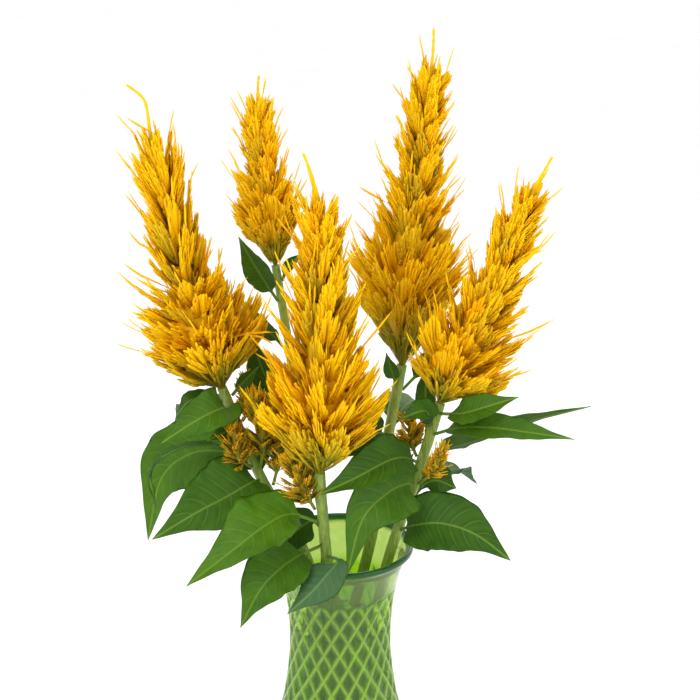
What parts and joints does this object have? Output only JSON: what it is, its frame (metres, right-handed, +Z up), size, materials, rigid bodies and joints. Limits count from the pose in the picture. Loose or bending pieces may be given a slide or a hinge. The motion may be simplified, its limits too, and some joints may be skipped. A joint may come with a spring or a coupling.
{
  "type": "plume celosia in a vase",
  "caption": "Cut plume celosia stems with feathery yellow flower heads, side shoots and leaves, standing in water in a green pressed-glass vase with a diamond relief.",
  "frame": {"origin": "middle of the vase's flat foot", "axes": "+Z up along the vase's axis, -Y towards the viewer of the bouquet's front, +X to the viewer's right"},
  "size_m": [0.3734, 0.2415, 0.656],
  "materials": {
    "vase_glass": "pressed yellow-green glass, glossy, with a diamond relief",
    "water": "clear water",
    "stalk": "fresh ribbed stem, light green",
    "leaf": "soft satin leaf with paler veins and a paler underside",
    "plume": "matt feathery flower thread, golden yellow",
    "shoot": "matt young flower thread, yellow with a green base"
  },
  "bodies": {
    "root": {"leaf_back_left_high": "leaf", "leaf_back_left_long": "leaf", "leaf_back_left_low": "leaf", "leaf_back_left_rear": "leaf", "leaf_back_left_shade": "leaf", "leaf_back_left_side": "leaf", "leaf_back_left_strip": "leaf", "leaf_back_right_low": "leaf", "leaf_back_right_rear": "leaf", "leaf_back_right_side": "leaf", "leaf_back_right_small": "leaf", "leaf_centre_big": "leaf", "leaf_centre_dark": "leaf", "leaf_centre_low": "leaf", "leaf_front_low_left": "leaf", "leaf_front_over_rim": "leaf", "leaf_front_rim_under": "leaf", "leaf_front_under": "leaf", "leaf_left_arching": "leaf", "leaf_left_back": "leaf", "leaf_left_big": "leaf", "leaf_left_curled": "leaf", "leaf_left_drop": "leaf", "leaf_left_inner": "leaf", "leaf_left_shade": "leaf", "leaf_left_small": "leaf", "leaf_left_upper": "leaf", "leaf_right_big": "leaf", "leaf_right_curled": "leaf", "leaf_right_far": "leaf", "leaf_right_inner": "leaf", "leaf_right_long": "leaf", "leaf_right_rear": "leaf", "leaf_right_small": "leaf", "leaf_right_upright": "leaf", "plume_back_left": "plume", "plume_back_right": "plume", "plume_front": "plume", "plume_left": "plume", "plume_right": "plume", "shoot_front": "shoot", "shoot_left_high": "shoot", "shoot_left_inner": "shoot", "shoot_left_low": "shoot", "shoot_left_mid": "shoot", "shoot_right_inner": "shoot", "shoot_right_slender": "shoot", "stalk_back_left": "stalk", "stalk_back_right": "stalk", "stalk_front": "stalk", "stalk_left": "stalk", "stalk_right": "stalk", "vase": "vase_glass", "water": "water"}
  },
  "joints": []
}
